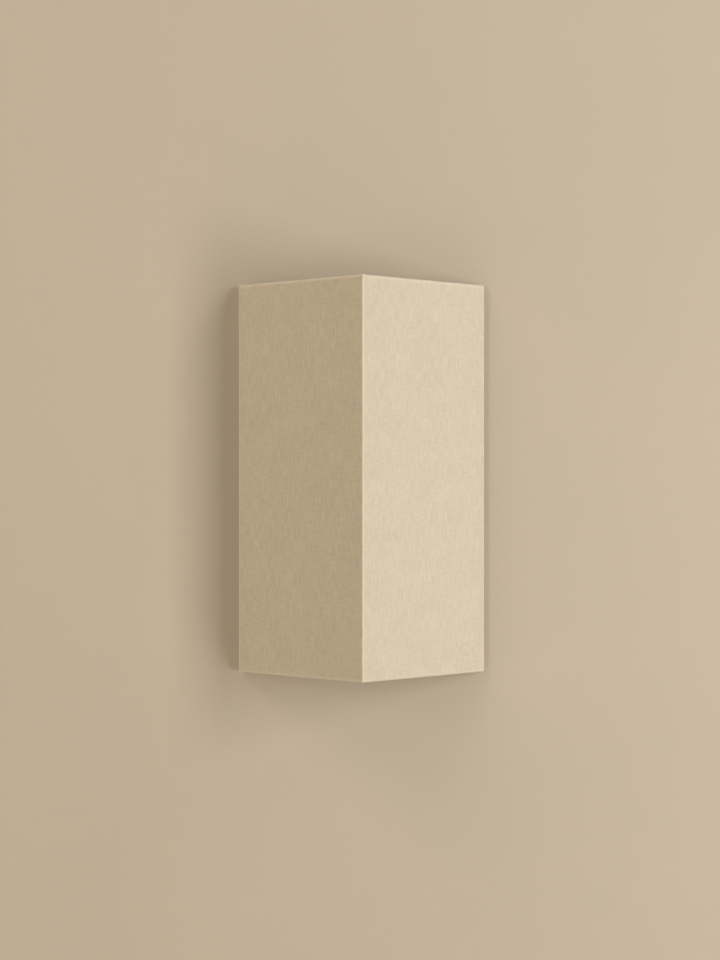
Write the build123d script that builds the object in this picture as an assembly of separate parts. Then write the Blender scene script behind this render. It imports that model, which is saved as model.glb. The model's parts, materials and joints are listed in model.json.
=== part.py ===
from build123d import *
from math import atan2, cos, degrees, hypot, pi, radians, sin, tan
import os

# Wall light with a folded linen shade, in millimetres.
#
# The wall is the plane Y = 0 and the light faces -Y, with Z up. The origin is the middle of
# the wall bracket. In plan the shade is a V: two flat legs run from the back corners, close
# to the wall, to a sharp front edge. It hangs by keyholes on four shoulder screws.

# ---------------------------------------------------------------- driving dimensions

# Shade frame, between the centres of its wires
frame_width = 184.4
frame_depth = 90.0
frame_height = 294.4
wire_diameter = 3.0
shade_gap = 2.0  # wall to the back of the linen

# Shade skin: white laminate inside, linen outside
lining_thickness = 0.8
linen_thickness = 0.5
hem_slope = 25.0  # degrees that the turned edge leans towards the lining
hem_tail = 4.0  # turned edge that is glued flat
hem_snip = 5.5  # turned edge cut away beside the front upright
bar_notch = 0.25  # room round a cross bar where the linen is snipped

# Back plate, a folded steel tray that is open to the wall
plate_width = 100.0
plate_height = 190.0
plate_depth = 20.0
plate_sheet = 1.2
plate_corner = 8.0
plate_edge = 2.0  # bevel round the front

# Wall bracket
bracket_width = 22.0
bracket_length = 114.0
bracket_sheet = 2.0
bracket_disc = 44.0
bracket_end = 4.0
fixing_spacing = 60.3
fixing_slot_width = 5.0
fixing_slot_length = 14.0

# Cable grommet in the middle of the bracket
grommet_bore = 10.0
grommet_neck = 14.0  # diameter of the hole that it is pressed into
grommet_flange = 18.0
grommet_front = 1.5  # flange in front of the bracket

# Threaded pillars on the bracket, and the screws that hold the plate on them
pillar_spacing = 100.0
pillar_width = 7.0  # across flats
pillar_rivet = 5.5
plate_screw = 4.0
plate_screw_length = 12.0
plate_screw_head = 8.0
plate_screw_head_height = 2.2
washer_diameter = 9.0
washer_thickness = 0.8

# Small hexagon nuts
nut_width = 7.0  # across flats
nut_thickness = 3.2
thread_proud = 1.0  # screw end beyond its nut
hole_play = 0.15  # radial room round a screw in sheet metal
chord_turn = 30.0  # a bend is made of short chords that turn about this far each

# Shoulder screws and the keyhole straps that hang on them
hanger_spacing_x = 68.0
hanger_spacing_z = 156.0
shoulder_diameter = 5.0
shoulder_play = 0.2
hanger_head = 9.0
hanger_head_height = 2.0
hanger_thread = 4.0
strap_width = 18.0
strap_thickness = 1.5
strap_play = 0.3  # on each side of the strap, under the screw head
head_play = 0.7  # radial room round the head in the wide end of the keyhole
lift_travel = 12.0

# Lamp arm, a bent tube
arm_height = -80.0
arm_reach = 48.0  # wall to the lamp's axis
arm_tube = 10.0
arm_wall = 1.0
arm_bend = 16.0
arm_rise = 9.0  # straight tube above the bend
arm_inside = 7.0  # wall to the tube's inner end, less the bend of the wires
arm_thread = 6.0  # tube inside the holder's neck
flange_diameter = 18.0
flange_thickness = 2.5
arm_nut_width = 14.0
arm_nut_thickness = 3.0

# Lamp holder, small Edison screw
holder_diameter = 29.0
holder_wall = 1.7
holder_neck = 14.0
holder_neck_height = 4.0
holder_flare = 6.0
holder_joint = 7.0  # straight part of the cap, which the skirt stands on
holder_lip = 1.5
holder_floor = 1.0  # room under the core
holder_mouth = 19.2
grub_diameter = 3.0
core_diameter = 24.6
core_height = 7.0
core_hole = 3.4
terminal_offset = 5.6  # core terminals, from the lamp's axis
screw_shell_bore = 14.2
screw_shell_sheet = 0.4
screw_shell_height = 20.0
contact_width = 5.0
contact_sheet = 0.4
contact_rise = 1.3  # contact's top above the core

# Lamp
cap_diameter = 13.6
cap_tip = 4.6
cap_tip_height = 1.5
cap_insulator = 10.0
cap_insulator_height = 3.5
cap_thread_height = 16.0
cap_flare = 17.0
cap_flare_height = 4.0
lamp_collar_height = 22.0
lamp_collar_taper = 5.0  # height of the slope above the cap
lamp_diameter = 28.0
lamp_top_edge = 4.0  # bevel round the top of the opal cover
lamp_length = 78.0
lamp_glass = 1.0
led_ring = 16.0  # diameter of the ring of diodes
led_board_play = 0.1
led_board_thickness = 1.2
led_count = 6
led_size = 2.8
led_height = 0.7

# Terminal block, three poles
block_x = -29.0
block_height = 24.0  # its middle above the origin
pole_pitch = 9.0
pole_barrel = 8.4
pole_length = 18.0
pole_tower = 6.8
pole_spread = 9.0  # between the two screws of a pole
pole_screw_play = 0.5
block_base = 3.6
pole_tube = 5.0  # square brass tube
pole_bore = 3.2
pole_tube_length = 15.0
pole_screw = 2.6
pole_screw_length = 5.0
block_screw_head_height = 1.4

# Earth post on the plate
earth_x = 29.0
earth_z = 18.0
earth_post_diameter = 4.0
earth_post_length = 9.0
earth_tag = 8.4
earth_tag_sheet = 0.8
earth_crimp = 4.2
earth_crimp_length = 6.0
earth_crimp_root = 0.6  # barrel over the edge of the ring
earth_drop = 14.0  # how far the earth wire hangs below the barrel

# Wires
wire_outside = 2.5
wire_facets = 8  # a lead has this many flat sides
wire_side = 1.7  # live and neutral, each side of the arm's axis inside it
wire_back = 5.5  # wall to the wires behind the arm
wire_insert = 5.0  # wire inside a terminal

# ---------------------------------------------------------------- places that follow

wire_radius = wire_diameter / 2
lining_face = wire_radius + lining_thickness  # wire centre to the outside of the lining
roll = lining_face + linen_thickness  # wire centre to the outside of the linen
half_frame = frame_height / 2

side_x = frame_width / 2
side_y = -(shade_gap + roll)
apex_y = side_y - frame_depth
leg_angle = degrees(atan2(frame_depth, side_x))
leg_length = hypot(frame_depth, side_x)
along = Vector(cos(radians(leg_angle)), sin(radians(leg_angle)), 0)  # front edge to back
outward = Vector(along.Y, -along.X, 0)

plate_front = -plate_depth
plate_inside = plate_front + plate_sheet
strap_back = plate_front - strap_play
strap_front = strap_back - strap_thickness
bar_y = strap_front - wire_radius
bar_half = side_x * (bar_y - apex_y) / (side_y - apex_y)

arm_tube_radius = arm_tube / 2
arm_bore_radius = arm_tube_radius - arm_wall
arm_axis_y = -arm_reach
arm_top = arm_height + arm_bend + arm_rise
arm_start = -(wire_back + arm_inside)

# Lamp holder, from the bottom up, all on the arm's upright axis
neck_bottom = arm_top - arm_thread
flare_bottom = neck_bottom + holder_neck_height
flare_top = flare_bottom + holder_flare
core_bottom = flare_top + holder_wall + holder_floor
core_top = core_bottom + core_height
contact_top = core_top + contact_rise
tip_bottom = contact_top  # the lamp is screwed down on the contact
thread_bottom = tip_bottom + cap_tip_height + cap_insulator_height
thread_top = thread_bottom + cap_thread_height
collar_bottom = thread_top + cap_flare_height
collar_top = collar_bottom + lamp_collar_height
lamp_top = tip_bottom + lamp_length
holder_split = core_bottom + holder_joint
holder_top = collar_bottom - 1.0

wall_plane = Plane.XZ  # local X across, local Y up, and its normal leads away from the wall
lamp_axis = Pos(0, arm_axis_y, 0)


# ---------------------------------------------------------------- small helpers


def both_sides(shape):
    """The shape and its mirror image across the middle of the light, as one list."""
    return [shape, mirror(shape, about=Plane.YZ)]


def disc(x, y, z, diameter, length):
    """A cylinder that starts at y and runs towards -Y, away from the wall."""
    return Plane((x, y, z), x_dir=(1, 0, 0), z_dir=(0, -1, 0)) * extrude_circle(diameter, length)


def extrude_circle(diameter, length):
    """A cylinder that stands on its plane's origin."""
    return extrude(Circle(diameter / 2), length)


def hexagon(x, y, z, width, thickness):
    """A hexagon prism whose back face is at y, with its corners to the sides."""
    face = RegularPolygon(width / 2, 6, major_radius=False)
    return Plane((x, y, z), x_dir=(1, 0, 0), z_dir=(0, -1, 0)) * extrude(face, thickness)


def nut(x, y, z, width, bore, thickness):
    """A hexagon nut whose back face is at y."""
    return hexagon(x, y, z, width, thickness) - disc(x, y, z, bore, thickness)


def turned(points):
    """A solid of revolution about the lamp's axis, from (radius, height) corners."""
    outline = make_face(Polyline(*[(r, 0, z) for r, z in points], close=True))
    return lamp_axis * revolve(outline, Axis.Z)


def bent_route(route, radii):
    """The route with each corner rounded by chords of an arc of the given radius."""
    corners = [Vector(*place) for place in route]
    points = [corners[0]]
    for before, corner, after, radius in zip(corners, corners[1:], corners[2:], radii):
        back, ahead = (before - corner).normalized(), (after - corner).normalized()
        turn = pi - radians(back.get_angle(ahead))
        centre = corner + (back + ahead).normalized() * (radius / cos(turn / 2))
        spoke = corner + back * (radius * tan(turn / 2)) - centre
        count = round(degrees(turn) / chord_turn)
        if count == 0:
            points.append(corner)
            continue
        for n in range(count + 1):
            angle = turn * n / count
            points.append(centre + spoke * cos(angle) - back * (radius * sin(angle)))
    return points + [corners[-1]]


def tube_along(route, radii, section):
    """A section carried along straight runs, with a bend of the given radius at each corner."""
    path = Polyline(*bent_route(route, radii))
    start = Plane(origin=path @ 0, z_dir=path % 0)
    return sweep(start * section, path, transition=Transition.RIGHT)


def save(name, solids):
    """Writes one named piece, which may hold several like solids."""
    solids = solids if isinstance(solids, list) else [solids]
    flat = [s for shape in solids for s in shape.solids()]
    shape = flat[0] if len(flat) == 1 else Compound(children=flat)
    export_step(shape, f"parts/{name}.step")


# ---------------------------------------------------------------- shade frame


def back_corner_plane():
    """Section plane of the right leg: local X is outward, local Y is up."""
    return Plane((side_x, side_y, 0), x_dir=outward, z_dir=-along)


def mitre_plane(top):
    """Plane in which the ring and a back upright meet; its normal leads to the upright."""
    corner = (side_x, side_y, top * half_frame)
    return Plane(corner, x_dir=outward, z_dir=along - Vector(0, 0, top))


def ring(top):
    """Wire ring, open to the wall, mitred at the front edge and at the back corners."""
    start = Vector(0, apex_y, top * half_frame) - along * roll
    wire = Plane(start, z_dir=along) * extrude_circle(wire_diameter, leg_length + 2 * roll)
    wire = split(wire, bisect_by=Plane.YZ, keep=Keep.TOP)
    wire = split(wire, bisect_by=mitre_plane(top), keep=Keep.BOTTOM)
    return wire + mirror(wire, about=Plane.YZ)


def between_mitres(shape):
    """The shape cut off by the two planes in which the back edge meets the hems."""
    for top in (-1, 1):
        shape = split(shape, bisect_by=mitre_plane(top), keep=Keep.TOP)
    return shape


def side_upright():
    """Wire along the back edge of the right leg, mitred to both rings."""
    wire = Pos(side_x, side_y, -half_frame - roll) * extrude_circle(wire_diameter, frame_height + 2 * roll)
    return between_mitres(wire)


def front_upright(rings):
    """Wire behind the front edge, its ends shaped to sit on the rings."""
    wire = Pos(0, apex_y, -half_frame) * extrude_circle(wire_diameter, frame_height)
    for hoop in rings:
        wire = wire - hoop
    return wire


def cross_bar(height, hoop):
    """Wire across the ring, in line with the front of the keyhole straps."""
    bar = Pos(0, bar_y, height) * Rot(0, 90, 0) * Cylinder(wire_radius, 2 * bar_half)
    return bar - hoop


def keyhole(x, z):
    """Cutter: a narrow slot that holds the shoulder, and a wide end that passes the head."""
    narrow = shoulder_diameter / 2 + shoulder_play
    wide = hanger_head / 2 + head_play
    slot = Pos(x, z - lift_travel / 2) * Rectangle(2 * narrow, lift_travel)
    outline = slot + Pos(x, z) * Circle(narrow) + Pos(x, z - lift_travel) * Circle(wide)
    return wall_plane.offset(-strap_back) * extrude(outline, strap_thickness)


def keyhole_strap(side):
    """Flat steel strap from the lower cross bar to the upper one, with two keyholes."""
    x = side * hanger_spacing_x / 2
    outline = Pos(x, 0) * Rectangle(strap_width, frame_height + wire_diameter)
    strap = wall_plane.offset(-strap_back) * extrude(outline, strap_thickness)
    for z in (-hanger_spacing_z / 2, hanger_spacing_z / 2):
        # the shade hangs with the top of each slot on its shoulder
        strap = strap - keyhole(x, z - shoulder_play)
    return strap


# ---------------------------------------------------------------- shade skin


def lining_panel():
    """Flat white laminate panel of the right leg, mitred at the front edge."""
    face = Pos(wire_radius + lining_thickness / 2, 0) * Rectangle(lining_thickness, frame_height)
    panel = back_corner_plane() * extrude(face, leg_length + roll)
    return split(panel, bisect_by=Plane.YZ, keep=Keep.TOP)


def turned_edge(centre):
    """Corners of the linen that is turned round a wire at this height, in section.

    Returns the arc and line ends of the outer and the inner surface, from the face of the
    leg, over the wire, and down the lining to the end of the glued tail.
    """
    lean = radians(hem_slope)
    rows = []
    for radius, face in ((roll, wire_radius - linen_thickness), (lining_face, wire_radius)):
        start = (radius, centre)
        top = (0, centre + radius)
        leave = (-radius * cos(lean), centre - radius * sin(lean))
        slant = (face + radius * cos(lean)) / sin(lean)
        land = (face, leave[1] - slant * cos(lean))
        rows.append([start, top, leave, land])
    end = min(rows[0][3][1], rows[1][3][1]) - hem_tail
    for row in rows:
        row.append((row[3][0], end))
    return rows


def turned_edge_face(centre):
    """The turned edge alone, as a closed section."""
    outer, inner = turned_edge(centre)
    lines = [
        ThreePointArc(outer[0], outer[1], outer[2]),
        Polyline(outer[2], outer[3], outer[4], inner[4], inner[3], inner[2]),
        ThreePointArc(inner[2], inner[1], inner[0]),
        Line(inner[0], outer[0]),
    ]
    return make_face(lines)


def linen_leg():
    """Linen of the right leg: face, upper and lower turned edges, cut on the mitres."""
    face = Pos((roll + lining_face) / 2, 0) * Rectangle(linen_thickness, frame_height)
    leg = back_corner_plane() * extrude(face, leg_length + roll)
    for top in (-1, 1):
        edge = turned_edge_face(half_frame)
        if top < 0:
            edge = mirror(edge, about=Plane.XZ)
        hem = back_corner_plane().offset(-roll) * extrude(edge, leg_length + 2 * roll)
        leg = leg + split(hem, bisect_by=mitre_plane(top), keep=Keep.BOTTOM)
    leg = split(leg, bisect_by=Plane.YZ, keep=Keep.TOP)
    # the turned edges are snipped clear of the front upright
    depth = wire_radius + roll
    snip = Pos(wire_radius - depth / 2, 0) * Rectangle(depth + 2 * linen_thickness, frame_height)
    return leg - back_corner_plane().offset(leg_length - hem_snip) * extrude(snip, hem_snip + roll)


def linen_side():
    """Linen round the right upright, turned in along the back edge."""
    start = (side_x, side_y, -half_frame - roll)
    plane = Plane(start, x_dir=outward, z_dir=(0, 0, 1))
    return between_mitres(plane * extrude(turned_edge_face(0), frame_height + 2 * roll))


def linen_cover():
    """One piece of linen over both legs, turned round the frame on every edge."""
    right = linen_leg() + linen_side()
    cover = right + mirror(right, about=Plane.YZ)
    for height in (-half_frame, half_frame):
        notch = Rot(0, 90, 0) * Cylinder(wire_radius + bar_notch, 2 * bar_half)
        cover = cover - Pos(0, bar_y, height) * notch
    return cover


# ---------------------------------------------------------------- wall bracket and plate


def wall_bracket():
    """Flat bracket with two slots for the wall screws and a hole for the cable grommet."""
    outline = RectangleRounded(bracket_width, bracket_length, bracket_end) + Circle(bracket_disc / 2)
    outline = outline - Circle(grommet_neck / 2)
    for side in (-1, 1):
        slot = SlotOverall(fixing_slot_length, fixing_slot_width, rotation=90)
        outline = outline - Pos(0, side * fixing_spacing / 2) * slot
        outline = outline - Pos(0, side * pillar_spacing / 2) * Circle(pillar_rivet / 2)
    return wall_plane * extrude(outline, bracket_sheet)


def cable_grommet():
    """Rubber ring with a flange in front of the bracket, flush with the wall behind it."""
    body = disc(0, 0, 0, grommet_neck, bracket_sheet)
    flange = disc(0, -bracket_sheet, 0, grommet_flange, grommet_front)
    return body + flange - disc(0, 0, 0, grommet_bore, plate_depth)


def pillar(z):
    """Hexagon pillar, riveted flush through the bracket, with a blind thread."""
    reach = -bracket_sheet - plate_inside
    body = hexagon(0, -bracket_sheet, z, pillar_width, reach) + disc(0, 0, z, pillar_rivet, bracket_sheet)
    depth = plate_screw_length - washer_thickness - plate_sheet + thread_proud
    return body - disc(0, plate_inside + depth, z, plate_screw, depth)


def plate_screw_solid(z):
    """Low-headed screw through its washer and the plate into a pillar."""
    under = plate_front - washer_thickness
    head = disc(0, under, z, plate_screw_head, plate_screw_head_height)
    return head + disc(0, under + plate_screw_length, z, plate_screw, plate_screw_length)


def pillar_heights():
    return (-pillar_spacing / 2, pillar_spacing / 2)


def back_plate():
    """Folded tray with holes for the plate screws, shoulder screws, arm and terminal block."""
    outline = RectangleRounded(plate_width, plate_height, plate_corner)
    tray = wall_plane * extrude(outline, plate_depth)
    front = tray.faces().sort_by(Axis.Y)[0]
    tray = chamfer(front.edges(), plate_edge)
    tray = offset(tray, amount=-plate_sheet, openings=tray.faces().sort_by(Axis.Y)[-1])
    holes = [(0, z, plate_screw) for z in pillar_heights()]
    holes += [(x, z, hanger_thread) for x, z in hanger_places()]
    holes += [(0, arm_height, arm_tube)]
    holes += [(block_x + pole_pitch / 2, block_height, pole_screw)]
    for x, z, diameter in holes:
        tray = tray - disc(x, 0, z, diameter + 2 * hole_play, 2 * plate_depth)
    return tray


def hanger_places():
    """Places of the four shoulder screws, as (x, z)."""
    x, z = hanger_spacing_x / 2, hanger_spacing_z / 2
    return [(-x, -z), (x, -z), (-x, z), (x, z)]


def shoulder_screw(x, z):
    """Thread through the plate, shoulder for the strap, and a low head."""
    shoulder = strap_thickness + 2 * strap_play
    thread = plate_sheet + nut_thickness + thread_proud
    head = disc(x, plate_front - shoulder, z, hanger_head, hanger_head_height)
    shank = disc(x, plate_front + thread, z, hanger_thread, thread)
    return shank + disc(x, plate_front, z, shoulder_diameter, shoulder) + head


def shoulder_nut(x, z):
    return nut(x, plate_inside + nut_thickness, z, nut_width, hanger_thread, nut_thickness)


def washer(z):
    ring_face = disc(0, plate_front, z, washer_diameter, washer_thickness)
    return ring_face - disc(0, 0, z, plate_screw, 2 * plate_depth)


# ---------------------------------------------------------------- lamp arm and holder


def arm_route():
    """From inside the plate, forward, and up to the lamp holder."""
    return [
        (0, arm_start, arm_height),
        (0, arm_axis_y, arm_height),
        (0, arm_axis_y, arm_top),
    ]


def arm_flange():
    """Turned collar that covers the arm's hole in the plate."""
    collar = disc(0, plate_front, arm_height, flange_diameter, flange_thickness)
    return collar - disc(0, 0, arm_height, arm_tube, arm_reach)


def arm_nut():
    """Hexagon nut that holds the arm from inside the plate."""
    back = plate_inside + arm_nut_thickness
    return nut(0, back, arm_height, arm_nut_width, arm_tube, arm_nut_thickness)


def holder_cap():
    """Lower half of the holder: neck on the arm, flare, and a rim that takes the skirt."""
    r, neck = holder_diameter / 2, holder_neck / 2
    inner = r - holder_wall
    bore = arm_tube / 2
    seat = core_bottom
    cap = turned(
        [
            (bore, neck_bottom),
            (neck, neck_bottom),
            (neck, flare_bottom),
            (r, flare_top),
            (r, holder_split),
            (inner, holder_split),
            (inner, seat),
            (neck, seat),
            (neck, flare_bottom + holder_wall),
            (bore, flare_bottom + holder_wall),
        ]
    )
    height = (neck_bottom + flare_bottom) / 2
    return cap - disc(0, arm_axis_y, height, grub_diameter, holder_neck)


def holder_grub():
    """Screw through the neck of the cap, which stops it turning on the arm."""
    height = (neck_bottom + flare_bottom) / 2
    reach = holder_neck / 2 - arm_tube / 2
    return disc(0, arm_axis_y - arm_tube / 2, height, grub_diameter, reach)


def holder_skirt():
    """Upper half of the holder: a plain sleeve with a lip that closes towards the lamp."""
    r, mouth = holder_diameter / 2, holder_mouth / 2
    inner = r - holder_wall
    return turned(
        [
            (inner, holder_split),
            (r, holder_split),
            (r, holder_top),
            (mouth, holder_top),
            (mouth, holder_top - holder_lip),
            (inner, holder_top - holder_lip),
        ]
    )


def holder_core():
    """Insulating core with two holes for the wires."""
    core = lamp_axis * Pos(0, 0, core_bottom) * extrude_circle(core_diameter, core_height)
    for side in (-1, 1):
        hole = Pos(side * terminal_offset, 0, core_bottom) * extrude_circle(core_hole, wire_insert)
        core = core - lamp_axis * hole
    return core


def core_terminal(side):
    """Brass sleeve in the core that takes the end of a wire."""
    sleeve = Pos(side * terminal_offset, 0, core_bottom) * extrude_circle(core_hole, wire_insert)
    bore = Pos(side * terminal_offset, 0, core_bottom) * extrude_circle(wire_outside, wire_insert)
    return lamp_axis * (sleeve - bore)


def screw_shell():
    """Brass sleeve on the core that takes the lamp's screw cap."""
    sleeve = Circle(screw_shell_bore / 2 + screw_shell_sheet) - Circle(screw_shell_bore / 2)
    return lamp_axis * Pos(0, 0, core_top) * extrude(sleeve, screw_shell_height)


def centre_contact():
    """Brass leaf that springs up from the core to the lamp's tip."""
    rise = contact_top - core_top
    flat = screw_shell_bore / 2 - 1.0
    profile = Polyline(
        (-flat, core_top),
        (-flat / 2, core_top),
        (-flat / 4, contact_top - contact_sheet),
        (flat / 2, contact_top - contact_sheet),
        (flat / 2, contact_top),
        (-flat / 4 - rise * 0.2, contact_top),
        (-flat / 2 - rise * 0.2, core_top + contact_sheet),
        (-flat, core_top + contact_sheet),
        close=True,
    )
    leaf = Plane.XZ.offset(-contact_width / 2) * extrude(make_face(profile), contact_width)
    return lamp_axis * leaf


# ---------------------------------------------------------------- lamp


def lamp_tip():
    tip = lamp_axis * Pos(0, 0, tip_bottom) * extrude_circle(cap_tip, cap_tip_height)
    return chamfer(tip.edges().sort_by(Axis.Z)[0], cap_tip_height / 3)


def lamp_insulator():
    """Glass disc between the tip and the screw cap."""
    bottom = tip_bottom + cap_tip_height
    return lamp_axis * Pos(0, 0, bottom) * extrude_circle(cap_insulator, cap_insulator_height)


def lamp_cap():
    """Screw cap, closed inside by its cement, with a wider foot under the collar."""
    cap = Pos(0, 0, thread_bottom) * extrude_circle(cap_diameter, cap_thread_height)
    foot = Pos(0, 0, thread_top) * extrude_circle(cap_flare, cap_flare_height)
    return lamp_axis * (cap + foot)


def lamp_collar():
    """Tapered body between the cap and the opal cover, with its electronics cast in."""
    foot, rim = cap_flare / 2, lamp_diameter / 2
    taper = collar_bottom + lamp_collar_taper
    return turned(
        [(0, collar_bottom), (foot, collar_bottom), (rim, taper), (rim, collar_top), (0, collar_top)]
    )


def lamp_globe():
    """Opal cover, a thin tube with a closed, bevelled top and an open foot."""
    height = lamp_top - collar_top
    tube = extrude_circle(lamp_diameter, height)
    tube = chamfer(tube.edges().sort_by(Axis.Z)[-1], lamp_top_edge)
    inside = extrude_circle(lamp_diameter - 2 * lamp_glass, height - lamp_top_edge)
    return lamp_axis * Pos(0, 0, collar_top) * (tube - inside)


def led_board():
    """Round board on the collar, with a ring of diodes."""
    wide = lamp_diameter - 2 * (lamp_glass + led_board_play)
    board = Pos(0, 0, collar_top) * extrude_circle(wide, led_board_thickness)
    for n in range(led_count):
        chip = Pos(led_ring / 2, 0, led_board_thickness + led_height / 2)
        chip = chip * Box(led_size, led_size, led_height)
        board = board + Pos(0, 0, collar_top) * Rot(0, 0, n * 360 / led_count) * chip
    return lamp_axis * board


# ---------------------------------------------------------------- wiring


def pole_places():
    return [block_x - pole_pitch, block_x, block_x + pole_pitch]


def pole_screw_places():
    """Places of the block's grub screws, as (x, z)."""
    heights = (block_height - pole_spread / 2, block_height + pole_spread / 2)
    return [(x, z) for x in pole_places() for z in heights]


def pole_y():
    """Middle of the terminal tubes, which lie on the block's base."""
    return plate_inside + block_base + pole_barrel / 2


def terminal_body():
    """Three-pole block: barrels on a base, each with a tower round its two screws."""
    y = pole_y()
    base = Box(2 * pole_pitch + pole_barrel, y - plate_inside, pole_length * 0.6)
    body = Pos(block_x, (plate_inside + y) / 2, block_height) * base
    barrel = extrude(RegularPolygon(pole_barrel / 2, 8, major_radius=False, rotation=22.5), pole_length)
    tower = Box(pole_tower, pole_barrel * 0.8, pole_spread + pole_tower)
    for x in pole_places():
        body = body + Pos(x, y, block_height - pole_length / 2) * barrel
        body = body + Pos(x, y + pole_barrel * 0.4, block_height) * tower
    for x in pole_places():
        body = body - Pos(x, y, block_height) * Box(pole_tube, pole_tube, pole_length)
    for x, z in pole_screw_places():
        body = body - disc(x, y + pole_barrel, z, pole_screw + 2 * pole_screw_play, pole_barrel)
    return body - block_screw()


def terminal_tube(x):
    """Square brass tube of one pole, with its two screw holes."""
    place = Pos(x, pole_y(), block_height)
    tube = Box(pole_tube, pole_tube, pole_tube_length) - Box(pole_bore, pole_bore, pole_tube_length)
    tube = place * tube
    for z in (-pole_spread / 2, pole_spread / 2):
        tube = tube - disc(x, pole_y() + pole_tube, block_height + z, pole_screw, pole_tube)
    return tube


def terminal_screw(x, z):
    """Grub screw that stands in the tube's wall and holds the wire."""
    top = pole_y() + pole_bore / 2 + pole_screw_length
    return disc(x, top, z, pole_screw, pole_screw_length)


def block_screw():
    """Screw that holds the block on the plate, between two poles."""
    x = block_x + pole_pitch / 2
    top = pole_y()
    head = disc(x, top, block_height, pole_screw * 1.5, block_screw_head_height)
    return head + disc(x, top, block_height, pole_screw, top - plate_front)


def earth_post():
    """Stud that is welded to the inside of the plate."""
    foot = plate_inside + earth_post_length
    return disc(earth_x, foot, earth_z, earth_post_diameter, earth_post_length)


def earth_barrel_end():
    """Height of the open end of the ring terminal's barrel, which points down."""
    return earth_z - earth_tag / 2 + earth_crimp_root - earth_crimp_length


def earth_tag_solid():
    """Ring terminal: a flat ring on the plate and a barrel that grips the wire."""
    ring_face = disc(earth_x, plate_inside + earth_tag_sheet, earth_z, earth_tag, earth_tag_sheet)
    place = Pos(earth_x, plate_inside + earth_crimp / 2, earth_barrel_end())
    barrel = place * extrude_circle(earth_crimp, earth_crimp_length)
    bore = place * extrude_circle(wire_outside, earth_crimp_length)
    tag = ring_face + barrel - bore
    return tag - disc(earth_x, 0, earth_z, earth_post_diameter, plate_depth)


def earth_nut():
    back = plate_inside + earth_tag_sheet + nut_thickness
    return nut(earth_x, back, earth_z, nut_width, earth_post_diameter, nut_thickness)


def wire_entry():
    """Height of a wire's end inside its pole."""
    return block_height - pole_tube_length / 2 + wire_insert


def wire_section():
    """Faceted section of a lead, its corners as far apart as its insulation is thick."""
    return RegularPolygon(wire_outside / 2, wire_facets)


def supply_wire(side, pole, beside):
    """Live or neutral: from its pole, past the pillar, through the arm and into the core.

    beside is how far left of the middle the wire passes the pillar.
    """
    x = side * wire_side
    y = pole_y()
    route = [
        (pole, y, wire_entry()),
        (pole, y, block_height - pole_length),
        (-beside - 3.0, -wire_back - 1.0, -pillar_spacing / 2 + 16.0),
        (-beside, -wire_back, -pillar_spacing / 2 - 4.0),
        (x, -wire_back, arm_height),
        (x, arm_axis_y, arm_height),
        (x, arm_axis_y, arm_top - 1.0),
        (side * terminal_offset, arm_axis_y, core_bottom - 1.5),
        (side * terminal_offset, arm_axis_y, core_bottom + wire_insert - 0.5),
    ]
    radii = [12.0, 24.0, 16.0, arm_inside, arm_bend, 3.0, 2.0]
    return tube_along(route, radii, wire_section())


def earth_wire():
    """From the last pole, round in front of the grommet, up to the ring terminal."""
    x, y = block_x + pole_pitch, pole_y()
    tag_y = plate_inside + earth_crimp / 2
    route = [
        (x, y, wire_entry()),
        (x, y, earth_barrel_end() - earth_drop),
        (earth_x, tag_y, earth_barrel_end() - earth_drop),
        (earth_x, tag_y, earth_barrel_end() + wire_insert),
    ]
    return tube_along(route, [12.0, 9.0], wire_section())


# ---------------------------------------------------------------- assembly


def shade_pieces():
    lower, upper = ring(-1), ring(1)
    panel = lining_panel()
    return {
        "lower_ring": lower,
        "upper_ring": upper,
        "front_upright": front_upright((lower, upper)),
        "side_uprights": both_sides(side_upright()),
        "lower_cross_bar": cross_bar(-half_frame, lower),
        "upper_cross_bar": cross_bar(half_frame, upper),
        "keyhole_strap_left": keyhole_strap(-1),
        "keyhole_strap_right": keyhole_strap(1),
        "lining_right": panel,
        "lining_left": mirror(panel, about=Plane.YZ),
        "linen_cover": linen_cover(),
    }


def base_pieces():
    poles = pole_places()
    return {
        "wall_bracket": wall_bracket(),
        "cable_grommet": cable_grommet(),
        "bracket_pillars": [pillar(z) for z in pillar_heights()],
        "back_plate": back_plate(),
        "plate_washers": [washer(z) for z in pillar_heights()],
        "plate_screws": [plate_screw_solid(z) for z in pillar_heights()],
        "shoulder_screws": [shoulder_screw(x, z) for x, z in hanger_places()],
        "shoulder_nuts": [shoulder_nut(x, z) for x, z in hanger_places()],
        "lamp_arm": tube_along(arm_route(), [arm_bend], Circle(arm_tube_radius) - Circle(arm_bore_radius)),
        "arm_flange": arm_flange(),
        "arm_nut": arm_nut(),
        "holder_cap": holder_cap(),
        "holder_grub_screw": holder_grub(),
        "holder_skirt": holder_skirt(),
        "holder_core": holder_core(),
        "core_terminals": [core_terminal(side) for side in (-1, 1)],
        "holder_screw_shell": screw_shell(),
        "holder_contact": centre_contact(),
        "terminal_body": terminal_body(),
        "terminal_tubes": [terminal_tube(x) for x in poles],
        "terminal_screws": [terminal_screw(x, z) for x, z in pole_screw_places()],
        "terminal_fixing_screw": block_screw(),
        "earth_post": earth_post(),
        "earth_tag": earth_tag_solid(),
        "earth_nut": earth_nut(),
        "live_wire": supply_wire(-1, poles[0], pillar_width / 2 + 2.8 * wire_outside),
        "neutral_wire": supply_wire(1, poles[1], pillar_width / 2 + 1.2 * wire_outside),
        "earth_wire": earth_wire(),
    }


def lamp_pieces():
    return {
        "lamp_tip": lamp_tip(),
        "lamp_insulator": lamp_insulator(),
        "lamp_cap": lamp_cap(),
        "lamp_collar": lamp_collar(),
        "led_board": led_board(),
        "lamp_globe": lamp_globe(),
    }


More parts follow.
